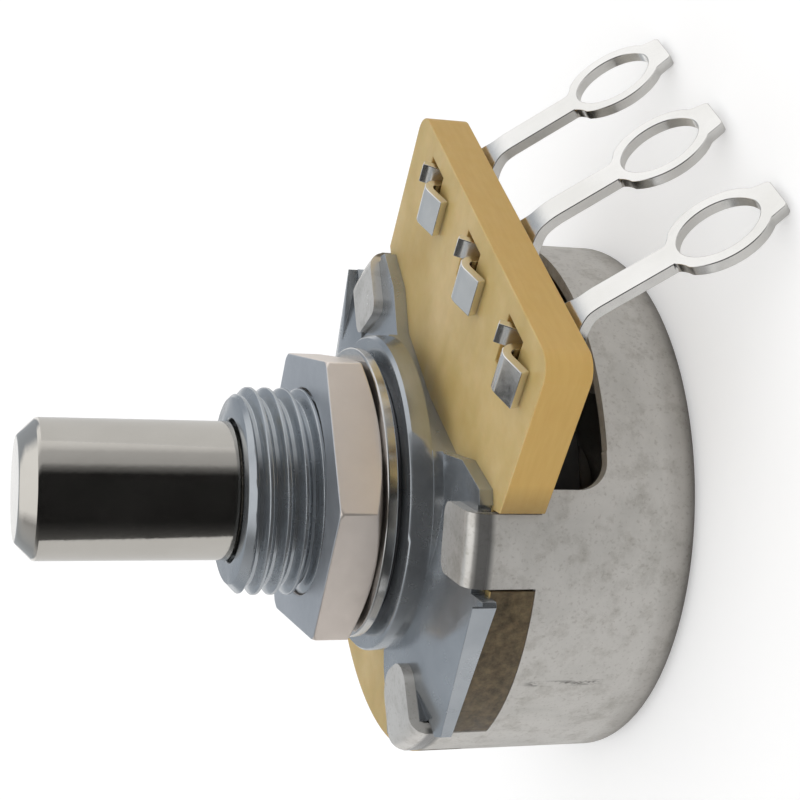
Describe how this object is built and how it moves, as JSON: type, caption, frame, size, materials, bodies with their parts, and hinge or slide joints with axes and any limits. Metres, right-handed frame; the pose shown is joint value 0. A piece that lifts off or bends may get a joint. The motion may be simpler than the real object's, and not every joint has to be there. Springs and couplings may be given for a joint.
{
  "type": "rotary potentiometer",
  "caption": "Panel-mount rotary potentiometer: solid round shaft in a threaded bushing, round metal can clinched over its plate, and a terminal board with eyelet solder lugs.",
  "frame": {"origin": "centre of the can's flat back, on which the part stands", "axes": "+Z along the shaft, out of the bushing; the terminals point towards -Y; terminal 1 is on the +X side"},
  "size_m": [0.0242, 0.0331, 0.0272],
  "materials": {
    "shaft_nickel": "polished nickel plate",
    "zinc_casting": "satin zinc die casting",
    "nut_nickel": "bright nickel plate",
    "washer_steel": "bright plated steel",
    "spring_steel": "plated spring steel",
    "can_steel": "drawn steel with a dull nickel plate",
    "phenolic": "tan paper phenolic sheet",
    "tinned_sheet": "bright tinned sheet",
    "carbon_film": "printed carbon film",
    "silver_film": "printed silver film",
    "contact_bronze": "plain contact bronze",
    "moulded_black": "black moulded phenolic"
  },
  "bodies": {
    "housing_body": {"housing": "zinc_casting", "lock_washer": "spring_steel", "flat_washer": "washer_steel", "hex_nut": "nut_nickel", "can": "can_steel", "terminal_board": "phenolic", "terminal_1": "tinned_sheet", "terminal_2": "tinned_sheet", "terminal_3": "tinned_sheet", "resistive_track": "carbon_film", "end_pad_1": "silver_film", "end_pad_3": "silver_film", "collector_ring": "contact_bronze"},
    "rotor_body": {"shaft": "shaft_nickel", "retaining_ring": "spring_steel", "rotor": "moulded_black", "contact_spring": "contact_bronze"}
  },
  "joints": [
    {"name": "shaft_turn", "type": "hinge", "parent": "housing_body", "child": "rotor_body", "pos_m": [0, 0, 0.01135], "axis": [0, 0, 1], "range_deg": [-150, 150]}
  ]
}
